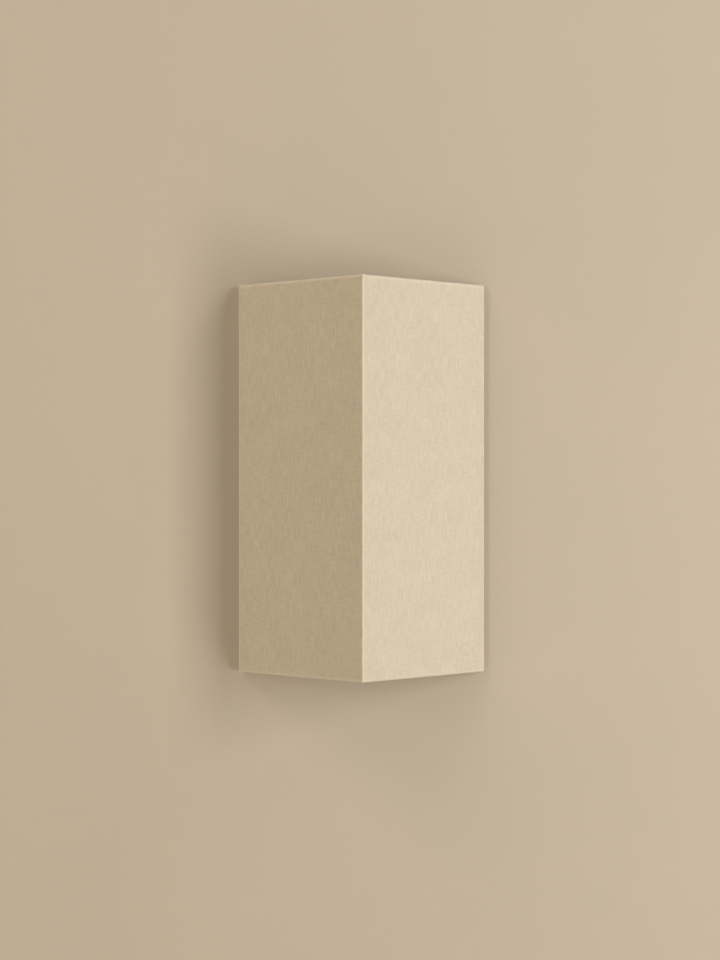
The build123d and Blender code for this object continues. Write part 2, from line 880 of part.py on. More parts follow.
os.makedirs("parts", exist_ok=True)
for pieces in (shade_pieces(), base_pieces(), lamp_pieces()):
    for name, solids in pieces.items():
        save(name, solids)
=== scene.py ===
"""A wall light with a folded linen shade, dressed in its studio.

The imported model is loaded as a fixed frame, in metres. The wall is the plane Y = 0, the light
faces -Y and Z is up. Each operator below dresses one piece or group of like pieces.
"""

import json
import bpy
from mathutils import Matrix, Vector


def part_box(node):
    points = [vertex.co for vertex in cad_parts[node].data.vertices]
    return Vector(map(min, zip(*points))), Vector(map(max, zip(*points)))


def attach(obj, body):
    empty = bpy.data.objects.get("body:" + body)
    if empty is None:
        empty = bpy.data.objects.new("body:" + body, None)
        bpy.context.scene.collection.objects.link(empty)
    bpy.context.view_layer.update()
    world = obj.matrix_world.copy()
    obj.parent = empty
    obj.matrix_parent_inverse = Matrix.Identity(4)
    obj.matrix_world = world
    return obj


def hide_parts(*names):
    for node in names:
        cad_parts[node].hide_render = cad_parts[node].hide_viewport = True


bl_info = {
    "name": "Linen Wall Light",
    "version": (1, 0, 0),
    "blender": (4, 5, 0),
    "location": "3D View > Sidebar > Wall Light",
    "description": "Dresses the frame of a wall light: linen shade, lamp, fittings and studio",
    "category": "Add Mesh",
}

from functools import partial
from math import atan2, cos, hypot, pi, radians, sin, tan

import bpy
from mathutils import Vector, noise

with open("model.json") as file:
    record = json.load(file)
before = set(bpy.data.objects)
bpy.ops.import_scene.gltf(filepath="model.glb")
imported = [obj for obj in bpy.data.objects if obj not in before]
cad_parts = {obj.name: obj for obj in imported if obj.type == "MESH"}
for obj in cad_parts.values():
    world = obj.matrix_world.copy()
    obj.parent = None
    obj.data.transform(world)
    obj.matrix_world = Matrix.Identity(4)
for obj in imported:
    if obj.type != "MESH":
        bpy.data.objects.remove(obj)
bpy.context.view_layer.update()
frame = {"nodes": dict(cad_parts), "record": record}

MM = 0.001

# a paint or metal, and what it turns to in places
CREAM = ((0.77, 0.75, 0.69), (0.71, 0.69, 0.63))
BRASS = ((0.74, 0.56, 0.28), (0.46, 0.33, 0.17))
DUST = (0.55, 0.52, 0.47, 1.0)


# ---- sizes and colours


def middle(node, axis):
    """The middle of a frame piece along an axis."""
    low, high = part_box(node)
    return (low[axis] + high[axis]) / 2


def size(node, axis):
    """How long a frame piece is along an axis."""
    low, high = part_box(node)
    return high[axis] - low[axis]


def number_property(name, description, default, **settings):
    return bpy.props.FloatProperty(name=name, description=description, default=default, **settings)


def length_property(name, description, default):
    settings = {"min": 0.0, "precision": 5, "subtype": "DISTANCE", "unit": "LENGTH"}
    return number_property(name, description, default, **settings)


def angle_property(name, description, degrees):
    return number_property(name, description, radians(degrees), subtype="ANGLE")


def power_property(name, description, default):
    return number_property(name, description, default, min=0.0, unit="POWER")


def colour_property(name, description, default):
    return bpy.props.FloatVectorProperty(
        name=name, description=description, default=default, size=3, min=0.0, max=1.0, subtype="COLOR"
    )


WIRE = size("side_uprights", 1)


class LinenShadeSettings(bpy.types.PropertyGroup):
    """Sizes and colours of the linen and the lining under it."""

    frame_width: length_property(
        "Frame Width", "Between the middles of the two back wires", size("side_uprights", 0) - WIRE
    )
    frame_depth: length_property("Frame Depth", "From the back wires to the front edge", 90 * MM)
    frame_height: length_property("Frame Height", "Height of the lining board", size("lining_right", 2))
    wire: length_property("Wire", "Diameter of the frame's wire", WIRE)
    lining: length_property("Lining", "Thickness of the lining board", 0.8 * MM)
    linen: length_property("Linen", "Thickness of the linen", 0.5 * MM)
    hem_slope: angle_property("Hem Slope", "Angle between the turned edge and the lining", 25)
    hem_tail: length_property("Hem Tail", "Turned edge that is glued flat on the lining", 4 * MM)
    hem_snip: length_property("Hem Snip", "Turned edge cut away beside each upright", 5.5 * MM)
    bar_play: length_property("Bar Play", "Room round a cross bar in the turned edge", 0.25 * MM)
    fold_radius: length_property("Fold Radius", "Radius of the linen on the front edge", 0.7 * MM)
    step: length_property("Mesh Step", "Widest spacing of the linen's mesh", 3 * MM)
    ripple: length_property("Ripple", "How far the hem wanders", 0.18 * MM)
    thread_pitch: length_property("Thread Pitch", "From one thread to the next", 0.62 * MM)
    slub_length: length_property("Slub Length", "Length of the thicker places in a thread", 9 * MM)
    light_thread: colour_property("Light Thread", "Colour of the pale threads", (0.624, 0.500, 0.371))
    dark_thread: colour_property("Dark Thread", "Colour of the darker threads", (0.540, 0.429, 0.312))
    fleck: colour_property("Fleck", "Colour of the small dark flecks", (0.38, 0.29, 0.18))
    # painted highlight: the paler thread colour along the front fold and the hems, where the folds catch the
    # light
    fold_highlight: colour_property("Highlighted Thread", "Colour of the threads on folds and hems", (0.74, 0.61, 0.46))
    fold_wander: length_property("Fold Wander", "How far the front fold wanders", 0.22 * MM)
    corner_swell: length_property("Corner Swell", "How far the hems swell at the front fold", 0.35 * MM)


class FittingSettings(bpy.types.PropertyGroup):
    """Edges, recesses, flutes and threads of the metal and plastic fittings."""

    sheet_edge: length_property("Sheet Edge", "Rounding along the edges of sheet metal", 0.25 * MM)
    moulded_edge: length_property("Moulded Edge", "Rounding along the edges of plastic", 0.45 * MM)
    recess: length_property("Recess", "Width of the cross in a screw head", 0.9 * MM)
    recess_depth: length_property("Recess Depth", "Depth of the cross in a screw head", 1.1 * MM)
    flutes: bpy.props.IntProperty(
        name="Flutes", description="Grip flutes round the holder", default=30, min=0
    )
    flute_depth: length_property("Flute Depth", "Depth of a grip flute", 0.4 * MM)
    thread_pitch: length_property("Thread Pitch", "From one turn of the lamp's thread to the next", 2.82 * MM)
    thread_depth: length_property("Thread Depth", "Depth of the lamp's thread", 0.6 * MM)
    dome: length_property("Dome", "Height of the rounding on top of the lamp", 9 * MM)


class StudioSettings(bpy.types.PropertyGroup):
    """Camera, wall, floor and lights."""

    lens: number_property("Lens", "Focal length", 81.67, unit="CAMERA")
    camera_place: bpy.props.FloatVectorProperty(
        name="Camera Place",
        description="Where the camera stands",
        default=(-0.0166, -1.695, -0.0011),
        subtype="TRANSLATION",
    )
    camera_turn: angle_property("Camera Turn", "How far the camera turns to the right", 0.522)
    floor_drop: length_property("Floor Drop", "From the light's middle down to the floor", 1.2)
    floor_depth: length_property("Floor Depth", "From the wall to the end of the floor", 2.4)
    wall_colour: colour_property("Wall Colour", "Matt paint on the wall", (0.508, 0.402, 0.304))
    floor_colour: colour_property("Floor Colour", "Pale matt floor", (0.66, 0.60, 0.52))
    backdrop: colour_property("Backdrop", "What the camera sees beyond the wall", (0.52, 0.45, 0.36))
    key_power: power_property("Key Power", "Tall strip light on the right", 47.6)
    front_power: power_property("Front Power", "The three soft boxes in front, on the left", 25.9)
    left_power: power_property("Left Power", "The two soft boxes close to the wall on the left", 11.0)
    right_power: power_property("Right Power", "The soft box close to the wall on the right", 8.5)
    top_power: power_property("Top Power", "The soft box above", 3.4)
    back_power: power_property("Back Power", "Soft box behind the wall, for the back of the light", 14.0)
    room_light: number_property("Room Light", "Strength of the light from all round", 0.01, min=0.0)
    key_colour: colour_property("Key Colour", "Colour of the key light", (0.90, 0.973, 1.0))
    left_colour: colour_property("Left Colour", "Colour of the left soft boxes", (1.0, 0.88, 0.63))
    back_colour: colour_property("Back Colour", "Colour of the soft box behind the wall", (0.90, 0.96, 1.0))
    fill_colour: colour_property("Fill Colour", "Colour of the other soft boxes", (0.98, 1.0, 0.93))
    room_colour: colour_property("Room Colour", "Colour of the light from all round", (1.0, 0.95, 0.88))


# ---- node helpers


def add_node(tree, kind, **settings):
    node = tree.nodes.new("ShaderNode" + kind)
    for name, value in settings.items():
        setattr(node, name, value)
    return node


def feed(tree, socket, value):
    """Links an output to a socket, or sets the socket to a plain value."""
    if isinstance(value, bpy.types.NodeSocket):
        tree.links.new(value, socket)
    else:
        socket.default_value = value


def fill(tree, node, values):
    """Feeds a node's inputs, in order or by their names or numbers."""
    for label, value in values.items() if isinstance(values, dict) else enumerate(values):
        feed(tree, node.inputs[label], value)
    return node


def result(tree, kind, values, **settings):
    """Adds a node with its inputs fed, and gives its first output."""
    return fill(tree, add_node(tree, kind, **settings), values).outputs[0]


def maths(tree, operation, *values, clamp=False):
    return result(tree, "Math", values, operation=operation, use_clamp=clamp)


def spread(tree, value, low, high, to_low, to_high):
    """Maps a value from one range to another, smoothly."""
    values = (value, low, high, to_low, to_high)
    return result(tree, "MapRange", values, interpolation_type="SMOOTHSTEP")


def blend_colours(tree, share, first, second):
    node = add_node(tree, "Mix", data_type="RGBA")
    return fill(tree, node, {0: share, 6: first, 7: second}).outputs[2]


def soft_noise(tree, vector, scale, detail=2.0, roughness=0.5):
    values = {"Vector": vector, "Scale": scale, "Detail": detail, "Roughness": roughness}
    return result(tree, "TexNoise", values)


def in_tree(tree):
    """The four helpers above, for one tree."""
    return [partial(helper, tree) for helper in (maths, spread, blend_colours, soft_noise)]


def split(tree, vector):
    """The three parts of a vector."""
    return fill(tree, add_node(tree, "SeparateXYZ"), [vector]).outputs[:3]


def facing(tree):
    """The three parts of the direction that the surface faces."""
    return split(tree, add_node(tree, "NewGeometry").outputs["Normal"])


def object_place(tree):
    return add_node(tree, "TexCoord").outputs["Object"]


def opaque(colour):
    return (*colour, 1.0)


def new_group(name, **inputs):
    """A node group that puts out a colour, a height and a roughness.

    The default of an input says what it is: a number, a vector or an opaque colour.
    """
    group = bpy.data.node_groups.new(name, "ShaderNodeTree")
    add_socket = group.interface.new_socket
    for label, default in inputs.items():
        kind = {3: "Vector", 4: "Color"}[len(default)] if isinstance(default, tuple) else "Float"
        socket = add_socket(label.replace("_", " "), in_out="INPUT", socket_type="NodeSocket" + kind)
        socket.default_value = default
    for label, kind in (("Color", "Color"), ("Height", "Float"), ("Roughness", "Float")):
        add_socket(label, in_out="OUTPUT", socket_type="NodeSocket" + kind)
    given = group.nodes.new("NodeGroupInput").outputs[: len(inputs)]
    return group, given, group.nodes.new("NodeGroupOutput")


def new_finish(name, **surface_settings):
    """A material with one surface shader, and constants on the shader's own sockets."""
    finish = bpy.data.materials.new(name)
    finish.use_nodes = True
    tree = finish.node_tree
    tree.nodes.clear()
    surface = add_node(tree, "BsdfPrincipled")
    fill(tree, surface, {label.replace("_", " "): value for label, value in surface_settings.items()})
    fill(tree, add_node(tree, "OutputMaterial"), [surface.outputs[0]])
    return finish, tree, surface


def surface_of(finish):
    """A finish's tree and its surface shader."""
    tree = finish.node_tree
    return tree, next(node for node in tree.nodes if node.type == "BSDF_PRINCIPLED")


def bump(tree, surface, height, strength, distance):
    """Adds relief on top of any that the surface has."""
    normal = surface.inputs["Normal"]
    node = add_node(tree, "Bump")
    fill(tree, node, {"Strength": strength, "Distance": distance, "Height": height})
    if normal.links:
        feed(tree, node.inputs["Normal"], normal.links[0].from_socket)
    feed(tree, normal, node.outputs[0])


def tint(tree, surface, share, colour):
    """Blends a colour over the one that the surface has."""
    base = surface.inputs["Base Color"]
    feed(tree, base, blend_colours(tree, share, base.links[0].from_socket, opaque(colour)))


# ---- shared finishes


def woven_linen_group():
    """Plain weave of uneven threads, read from the cloth's own map in metres."""
    group, given, out = new_group(
        "Woven Linen",
        Cloth=(0.0, 0.0, 0.0),
        Thread_Pitch=0.0006,
        Slub_Length=0.009,
        Light_Thread=(0.7, 0.6, 0.5, 1.0),
        Dark_Thread=(0.6, 0.5, 0.4, 1.0),
        Fleck=(0.4, 0.3, 0.2, 1.0),
    )
    cloth, pitch, slub, light, dark, fleck = given
    calc, ramp, blend, noisy = in_tree(group)
    across, up, _ = split(group, cloth)

    # threads wander a little, so that they aren't ruled lines
    drift = calc("MULTIPLY_ADD", noisy(cloth, 90.0, 1.0), 1.6, -0.8)
    warp, weft = (calc("ADD", calc("DIVIDE", place, pitch), drift) for place in (across, up))
    warp_number, weft_number = (calc("FLOOR", thread) for thread in (warp, weft))
    up_slubs = calc("DIVIDE", up, calc("MULTIPLY", slub, 1.3))
    across_slubs = calc("DIVIDE", across, slub)

    def along_thread(number, spacing, along, seed, detail):
        """Noise that follows single threads."""
        vector = result(group, "CombineXYZ", (calc("MULTIPLY", number, spacing), along, seed))
        return noisy(vector, 1.0, detail)

    warp_tone = along_thread(warp_number, 0.77, up_slubs, 3.0, 2.0)
    weft_tone = along_thread(weft_number, 0.77, across_slubs, 9.0, 2.0)
    warp_round, weft_round = (calc("SINE", calc("MULTIPLY", thread, pi)) for thread in (warp, weft))
    warp_height, weft_height = (calc("ABSOLUTE", wave) for wave in (warp_round, weft_round))
    over = calc("MULTIPLY_ADD", calc("MULTIPLY", warp_round, weft_round), 2.0, 0.5, clamp=True)

    def on_top(weft_value, warp_value):
        return result(group, "Mix", {0: over, 2: weft_value, 3: warp_value}, data_type="FLOAT")

    height = on_top(weft_height, warp_height)
    tone = on_top(weft_tone, warp_tone)

    # thick places in single threads show through, those of the warp most
    yarn, patches = noisy(cloth, 260.0, 3.0, 0.6), noisy(cloth, 35.0, 2.0)
    for value, share in ((warp_tone, 0.8), (weft_tone, 0.25), (yarn, 0.25), (patches, 0.3)):
        tone = calc("MULTIPLY_ADD", calc("SUBTRACT", value, 0.5), share, tone)
    colour = blend(ramp(tone, 0.22, 0.80, 0.0, 1.0), dark, light)
    # painted shade: the colour darkens towards the fleck colour in the hollows between the threads
    gap_shade = ramp(calc("ADD", warp_height, weft_height), 0.0, 0.7, 0.28, 0.0)
    colour = blend(gap_shade, colour, blend(0.6, dark, fleck))

    def fibres(number, along, seed):
        """Short dark fibres caught in the yarn."""
        noise_along = along_thread(number, 1.31, calc("MULTIPLY", along, 3.2), seed, 1.0)
        return ramp(noise_along, 0.74, 0.80, 0.0, 1.0)

    specks = calc("MAXIMUM", fibres(warp_number, up_slubs, 21.0), fibres(weft_number, across_slubs, 33.0))
    colour = blend(calc("MULTIPLY", specks, 0.75), colour, fleck)
    height = calc("MULTIPLY_ADD", tone, 0.8, height)
    fill(group, out, (colour, height, ramp(tone, 0.2, 0.8, 0.96, 0.84)))
    return group


def fine_grain_group():
    """Slow and fine change of tone for paint, plastic and card, with a little dust on top."""
    group, given, out = new_group(
        "Fine Grain",
        Color=(0.8, 0.8, 0.8, 1.0),
        Shade_Color=(0.7, 0.7, 0.7, 1.0),
        Grain_Scale=1500.0,
        Roughness=0.5,
        Dust=0.2,
    )
    colour, shade, scale, rough, dust = given
    calc, ramp, blend, noisy = in_tree(group)
    place = object_place(group)
    slow, fine = noisy(place, 28.0, 3.0, 0.55), noisy(place, scale, 2.0, 0.6)
    base = blend(ramp(slow, 0.35, 0.7, 0.0, 1.0), colour, shade)
    base = blend(ramp(fine, 0.35, 0.75, 0.0, 0.5), base, shade)
    settled = calc("MULTIPLY", ramp(facing(group)[2], 0.5, 1.0, 0.0, 1.0), dust)
    settled = calc("MULTIPLY", settled, ramp(fine, 0.3, 0.7, 0.4, 1.0))
    rough = calc("ADD", rough, calc("MULTIPLY_ADD", slow, 0.14, -0.07))
    rough = calc("ADD", rough, calc("MULTIPLY", settled, 0.3), clamp=True)
    fill(group, out, (blend(settled, base, DUST), fine, rough))
    return group


def drawn_metal_group():
    """Fine lines along one direction, with smudges, for wire, tube and sheet."""
    group, given, out = new_group(
        "Drawn Metal",
        Color=(0.6, 0.6, 0.6, 1.0),
        Tarnish=(0.4, 0.4, 0.4, 1.0),
        Stretch=(1.0, 1.0, 1.0),
        Roughness=0.35,
    )
    colour, tarnish, stretch, rough = given
    calc, ramp, blend, noisy = in_tree(group)
    place = object_place(group)
    lines = noisy(result(group, "VectorMath", (place, stretch), operation="MULTIPLY"), 1800.0, 3.0, 0.6)
    smudge, spots = noisy(place, 70.0, 4.0, 0.6), noisy(place, 900.0, 2.0, 0.5)
    base = blend(ramp(smudge, 0.5, 0.8, 0.0, 0.7), colour, tarnish)
    base = blend(ramp(spots, 0.62, 0.75, 0.0, 0.4), base, tarnish)
    rough = calc("ADD", rough, calc("MULTIPLY_ADD", lines, 0.2, -0.1))
    rough = calc("ADD", rough, ramp(smudge, 0.45, 0.8, 0.0, 0.15), clamp=True)
    fill(group, out, (base, lines, rough))
    return group


MAKERS = {"Woven Linen": woven_linen_group, "Fine Grain": fine_grain_group, "Drawn Metal": drawn_metal_group}
GROUPS = {}


def grouped_finish(name, group, given, strength, relief, **surface_settings):
    """A finish from a shared node group, which is built the first time."""
    finish, tree, surface = new_finish(name, **surface_settings)
    if group not in GROUPS:
        GROUPS[group] = MAKERS[group]()
    node = fill(tree, add_node(tree, "Group", node_tree=GROUPS[group]), given)
    fill(tree, surface, {label: node.outputs[n] for label, n in (("Base Color", 0), ("Roughness", 2))})
    bump(tree, surface, node.outputs["Height"], strength, relief * MM)
    return finish


def linen_finish(s):
    threads = {
        "Thread Pitch": s.thread_pitch,
        "Slub Length": s.slub_length,
        "Light Thread": opaque(s.light_thread),
        "Dark Thread": opaque(s.dark_thread),
        "Fleck": opaque(s.fleck),
    }
    sheen = {"Sheen_Weight": 0.25, "Sheen_Roughness": 0.6, "Specular_IOR_Level": 0.25}
    finish = grouped_finish("Oatmeal Linen", "Woven Linen", threads, 0.5, 0.12, **sheen)
    tree, surface = surface_of(finish)
    weave = surface.inputs["Roughness"].links[0].from_node
    cloth = add_node(tree, "UVMap", uv_map="Cloth").outputs[0]
    feed(tree, weave.inputs["Cloth"], cloth)

    # painted highlight: the threads along the front fold and the hems are made paler, where the folds catch
    # the light
    cut = LinenCut(s)
    hem = cut.roll * pi / 3
    calc, ramp = in_tree(tree)[:2]
    across, up = (calc("ABSOLUTE", part) for part in split(tree, cloth)[:2])

    def near(value, place, reach):
        away = calc("ABSOLUTE", calc("SUBTRACT", value, place))
        return ramp(away, 0.2 * reach, reach, 1.0, 0.0)

    painted_highlight = near(across, 0.0, 1.8 * MM)
    for value, edge in ((across, cut.cloth_end), (up, cut.half_height)):
        painted_highlight = calc("MAXIMUM", painted_highlight, near(value, edge + hem, 3.4 * MM))
    tint(tree, surface, calc("MULTIPLY", painted_highlight, 0.5), s.fold_highlight)
    return finish


def grained_finish(name, colour, shade, rough, scale, dust, relief, **surface_settings):
    """Paint, plastic, card, rubber or ceramic."""
    given = (opaque(colour), opaque(shade), scale, rough, dust)
    return grouped_finish(name, "Fine Grain", given, 0.4, relief, **surface_settings)


def metal_finish(name, colour, tarnish, rough, stretch):
    given = (opaque(colour), opaque(tarnish), stretch, rough)
    return grouped_finish(name, "Drawn Metal", given, 0.3, 0.01, Metallic=1.0)


def powder_coat(name, colour, shade, rough):
    """Baked paint with a fine orange-peel skin."""
    coat = {"Coat_Weight": 0.15, "Coat_Roughness": 0.25}
    finish = grained_finish(name, colour, shade, rough, 2600.0, 0.22, 0.02, **coat)
    tree, surface = surface_of(finish)
    bump(tree, surface, soft_noise(tree, object_place(tree), 650.0, 1.0), 0.35, 0.04 * MM)
    return finish


def lead_finish(name, colour, shade):
    """Soft insulation with a slight gloss."""
    return grained_finish(name, colour, shade, 0.33, 2000.0, 0.2, 0.01, Coat_Weight=0.1, Coat_Roughness=0.3)


def earth_lead_finish():
    """Green insulation with a yellow stripe along it."""
    finish = lead_finish("Earth Lead", (0.10, 0.34, 0.05), (0.08, 0.27, 0.04))
    tree, surface = surface_of(finish)
    stripe = spread(tree, maths(tree, "ABSOLUTE", facing(tree)[1]), 0.80, 0.88, 0.0, 1.0)
    tint(tree, surface, stripe, (0.72, 0.60, 0.05))
    return finish


def dress(finish, *nodes):
    """Gives frame pieces a finish."""
    for node in nodes:
        for slot in frame["nodes"][node].material_slots:
            slot.material = finish


# ---- mesh helpers


def deselect_all():
    if bpy.context.mode != "OBJECT":
        bpy.ops.object.mode_set(mode="OBJECT")
    bpy.ops.object.select_all(action="DESELECT")


def pick(piece):
    deselect_all()
    piece.select_set(True)
    bpy.context.view_layer.objects.active = piece


def settle(piece):
    """Puts the piece's place into its mesh, so that its object sits at the origin."""
    pick(piece)
    bpy.ops.object.transform_apply(location=True, rotation=True, scale=True)


def stations(length, edge, step):
    """Distances from 0 to length: close together at both ends, wider between."""
    half, run, gap = [0.0], 0.0, edge
    while run + gap < length / 2 and gap < step:
        run += gap
        half.append(run)
        gap *= 1.8
    rest = length - 2 * run
    count = max(1, round(rest / step))
    inner = [run + rest * n / count for n in range(1, count)]
    return half + inner + [length - d for d in reversed(half)]


def stand_for(piece, node, finish):
    """The piece takes the place, body and finish of a frame piece, which is hidden."""
    record = frame["record"]
    body = next(name for name, nodes in record["behaviour"]["bodies"].items() if node in nodes)
    piece.data.materials.clear()
    piece.data.materials.append(finish)
    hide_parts(node)
    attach(piece, body)


def apply_modifier(piece, name, kind, **settings):
    pick(piece)
    modifier = piece.modifiers.new(name, kind)
    for key, value in settings.items():
        setattr(modifier, key, value)
    bpy.ops.object.modifier_apply(modifier=name)


def smooth(degrees):
    """Shades the active piece smooth, where its faces meet at less than this angle."""
    bpy.ops.object.shade_smooth_by_angle(angle=radians(degrees))


def round_edges(piece, width, segments=2):
    """Rounds every sharp edge, and keeps the flats shaded flat."""
    pick(piece)
    smooth(32)
    sharp = {"limit_method": "ANGLE", "angle_limit": radians(35)}
    apply_modifier(piece, "Edges", "BEVEL", width=width, segments=segments, use_clamp_overlap=True, **sharp)
    smooth(60)
    apply_modifier(piece, "Flats", "WEIGHTED_NORMAL", keep_sharp=True, weight=80)


def edit_all():
    """Opens the active mesh with everything selected."""
    bpy.ops.object.mode_set(mode="EDIT")
    bpy.ops.mesh.select_all(action="SELECT")


def new_object(name, mesh):
    piece = bpy.data.objects.new(name, mesh)
    bpy.context.scene.collection.objects.link(piece)
    return piece


def rounded_copy(node, width, finish, segments=2):
    """A copy of a frame piece with its loose triangles joined and its edges rounded."""
    piece = new_object(node + "_rounded", frame["nodes"][node].data.copy())
    pick(piece)
    bpy.ops.mesh.customdata_custom_splitnormals_clear()
    edit_all()
    bpy.ops.mesh.remove_doubles(threshold=1e-6)
    bpy.ops.mesh.dissolve_limited(angle_limit=radians(0.6))
    bpy.ops.object.mode_set(mode="OBJECT")
    round_edges(piece, width, segments)
    stand_for(piece, node, finish)


def start_ring(name, sides, radius, place, **settings):
    """Adds a ring or disc, and opens its mesh."""
    deselect_all()
    bpy.ops.mesh.primitive_circle_add(vertices=sides, radius=radius, location=place, **settings)
    piece = bpy.context.object
    piece.name = name
    settle(piece)
    edit_all()
    return piece


def draw_out(*shift):
    bpy.ops.mesh.extrude_region_move(TRANSFORM_OT_translate={"value": shift})


def close_mesh():
    """Joins a profile's ends, turns all faces outwards and leaves the mesh."""
    bpy.ops.mesh.select_all(action="SELECT")
    bpy.ops.mesh.remove_doubles(threshold=1e-6)
    bpy.ops.mesh.normals_make_consistent(inside=False)
    bpy.ops.object.mode_set(mode="OBJECT")


def turned_piece(name, profile, sides, hollow=False):
    """A piece turned on the Z axis, from a profile of (radius, height) in millimetres."""
    (radius, height), *rest = [(r * MM, z * MM) for r, z in profile]
    fill_type = "NOTHING" if hollow else "NGON"
    piece = start_ring(name, sides, radius, (0, 0, height), fill_type=fill_type)
    for next_radius, next_height in rest:
        draw_out(0, 0, next_height - height)
        share = next_radius / radius
        bpy.ops.transform.resize(value=(share, share, 1), center_override=(0, 0, next_height))
        radius, height = next_radius, next_height
    close_mesh()
    return piece


def sink(piece, depth_at):
    """Moves points towards the Z axis by depth_at(radius, height, turn), in millimetres."""
    for vertex in piece.data.vertices:
        place = vertex.co
        away = hypot(place.x, place.y)
        depth = depth_at(away / MM, place.z / MM, atan2(place.y, place.x)) * MM
        place.x *= 1 - depth / away
        place.y *= 1 - depth / away


def put_at(piece, place, turn=(0, 0, 0)):
    piece.location = place
    piece.rotation_euler = turn
    settle(piece)


def cut_away(piece, cutter):
    settle(cutter)
    apply_modifier(piece, "Cut", "BOOLEAN", operation="DIFFERENCE", solver="EXACT", object=cutter)
    bpy.data.objects.remove(cutter)


def copy_to(piece, shift):
    twin = new_object(piece.name, piece.data.copy())
    put_at(twin, shift)
    return twin


FACING_ROOM = (pi / 2, 0, 0)


# ---- screws, arm, holder and lamp


def box_mm(node):
    """The low and high corners of a frame piece, in millimetres."""
    return [[place / MM for place in corner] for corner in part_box(node)]


def upright(node):
    """Radius, foot and top of an upright round frame piece, in millimetres."""
    low, high = box_mm(node)
    return (high[0] - low[0]) / 2, low[2], high[2]


def set_upright(piece, node, degrees, finish):
    """Puts a turned piece where the upright frame piece is."""
    put_at(piece, (0, middle(node, 1), 0))
    smooth(degrees)
    stand_for(piece, node, finish)


def screws(name, node, profile, places, s, finish):
    """Pan-headed screws with a cross recess, at places in millimetres."""
    first = turned_piece(name, profile, 40)
    arm = (5.2 * s.recess, s.recess, 2 * s.recess_depth)
    for turn in (pi / 4, -pi / 4):
        deselect_all()
        bpy.ops.mesh.primitive_cube_add(size=1, location=(0, 0, profile[-1][1] * MM), rotation=(0, 0, turn))
        cutter = bpy.context.object
        cutter.scale = arm
        cut_away(first, cutter)
    round_edges(first, 0.12 * MM, 1)
    places = [Vector(place) * MM for place in places]
    put_at(first, places[0], FACING_ROOM)
    for piece in [first] + [copy_to(first, place - places[0]) for place in places[1:]]:
        stand_for(piece, node, finish)


def shoulder_screws(s, finish):
    """Four screws that the shade hangs on."""
    low, high = box_mm("shoulder_screws")
    plate = box_mm("back_plate")[0][1]
    head = 4.5
    across, rise = ((high[n] - low[n]) / 2 - head for n in (0, 2))
    end, top = plate - high[1], plate - low[1]
    seat = top - 2
    profile = [(1.5, end), (2, end + 0.5), (2, 0.02), (2.5, 0.02), (2.5, seat), (head - 0.15, seat)]
    profile += [(head, seat + 0.2), (head, seat + 0.9), (4.25, seat + 1.4), (3.6, seat + 1.75), (2.6, top)]
    places = [(x, plate, z) for z in (-rise, rise) for x in (-across, across)]
    screws("shoulder_screw", "shoulder_screws", profile, places, s, finish)


def plate_screws(s, finish):
    """Two screws that hold the plate."""
    low, high = box_mm("plate_screws")
    head = 4
    rise = (high[2] - low[2]) / 2 - head
    top = high[1] - low[1]
    seat = top - 2.2
    profile = [(1.5, 0), (2, 0.6), (2, seat), (head - 0.15, seat), (head, seat + 0.2), (head, seat + 1)]
    profile += [(3.7, seat + 1.6), (3, seat + 2), (2.2, top)]
    places = [(0, high[1], z) for z in (-rise, rise)]
    screws("plate_screw", "plate_screws", profile, places, s, finish)


def grommet(finish):
    """Rubber ring with a rounded flange."""
    low, high = box_mm("cable_grommet")
    rim, depth = (high[0] - low[0]) / 2, high[1] - low[1]
    bore, neck, wall = 5, 7, 2
    lip = depth - wall
    profile = [(bore, 0), (neck, 0), (neck, wall), (rim - 0.5, wall), (rim, wall + 0.45 * lip)]
    profile += [(rim - 0.25, wall + 0.8 * lip), (rim - 0.9, depth), (bore + 0.9, depth)]
    profile += [(bore + 0.25, depth - 0.25), (bore, depth - 0.9), (bore, 0)]
    piece = turned_piece("grommet", profile, 40, hollow=True)
    put_at(piece, (0, high[1] * MM, 0), FACING_ROOM)
    smooth(50)
    stand_for(piece, "cable_grommet", finish)


def lamp_arm(finish):
    """A bent tube: a ring is drawn forward, spun round the bend and drawn up."""
    low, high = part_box("lamp_arm")
    radius, bend, wall = (high[0] - low[0]) / 2, 16 * MM, 1 * MM
    axis_y, height = low[1] + radius, low[2] + radius
    start = (0, high[1], height)
    piece = start_ring("arm_tube", 40, radius, start, rotation=FACING_ROOM, fill_type="NOTHING")
    draw_out(0, axis_y + bend - high[1], 0)
    centre = (0, axis_y + bend, height + bend)
    bpy.ops.mesh.spin(steps=24, angle=pi / 2, center=centre, axis=(1, 0, 0), use_normal_flip=False)
    draw_out(0, 0, high[2] - height - bend)
    close_mesh()
    apply_modifier(piece, "Wall", "SOLIDIFY", thickness=wall, offset=-1)
    smooth(40)
    stand_for(piece, "lamp_arm", finish)


def holder_skirt(s, finish):
    """Sleeve with grip flutes and a rounded mouth."""
    outer, foot, top = upright("holder_skirt")
    inner, mouth, lip, edge = outer - 1.7, 9.6, 1.5, 1.1
    profile = [(inner, foot), (outer - 0.3, foot), (outer, foot + 0.3), (outer, foot + 3)]
    profile += [(outer, foot + 3.6 + n * (top - foot - 9) / 6) for n in range(7)]
    profile += [(outer, top - 4.8), (outer, top - edge)]
    turns = [n * pi / 8 for n in range(1, 5)]
    profile += [(outer - edge * (1 - cos(turn)), top - edge * (1 - sin(turn))) for turn in turns]
    profile += [(mouth + 0.5, top), (mouth + 0.15, top - 0.15), (mouth, top - 0.5)]
    profile += [(mouth, top - lip), (inner, top - lip), (inner, foot)]
    piece = turned_piece("holder_sleeve", profile, 4 * s.flutes, hollow=True)

    def flute(away, height, turn):
        if away < outer - 0.01 or not foot + 3.3 < height < top - 5.1:
            return 0.0
        return s.flute_depth / MM * max(0.0, sin(s.flutes * turn + pi / 4))

    sink(piece, flute)
    set_upright(piece, "holder_skirt", 35, finish)


